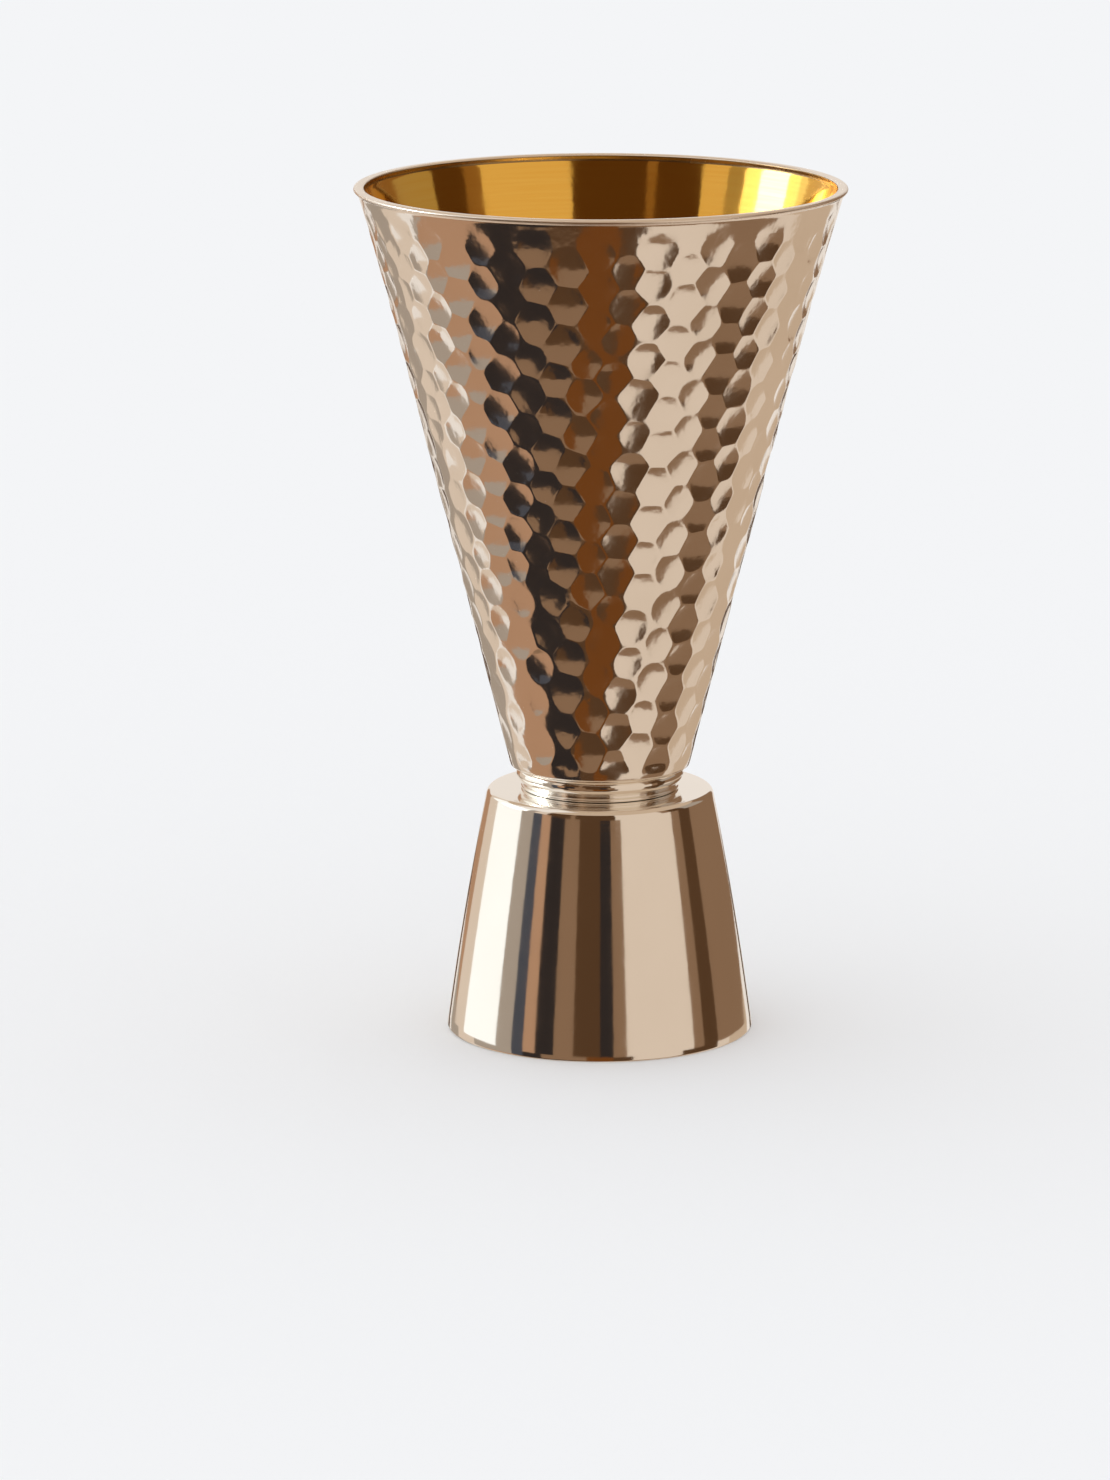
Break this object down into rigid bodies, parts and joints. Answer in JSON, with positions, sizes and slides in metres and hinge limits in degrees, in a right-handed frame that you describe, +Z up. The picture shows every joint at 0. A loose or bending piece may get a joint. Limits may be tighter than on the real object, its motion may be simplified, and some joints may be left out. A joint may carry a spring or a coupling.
{
  "type": "kiddush cup",
  "caption": "Tall conical silver kiddush cup, hammered outside and gilt inside, on a turned collar and a hollow spun foot.",
  "frame": {"origin": "on the cup's axis, in the plane that the foot stands on", "axes": "+Z up along the cup's axis, from the foot to the rim; X and Y level, with no preferred direction because the cup is turned"},
  "size_m": [0.08, 0.08, 0.14],
  "materials": {
    "hammered_silver": "polished silver with hammer marks outside, gilt inside below the rim",
    "polished_silver": "mirror polished silver, faint turning lines"
  },
  "bodies": {
    "root": {"bowl": "hammered_silver", "collar": "polished_silver", "foot": "polished_silver"}
  },
  "joints": []
}
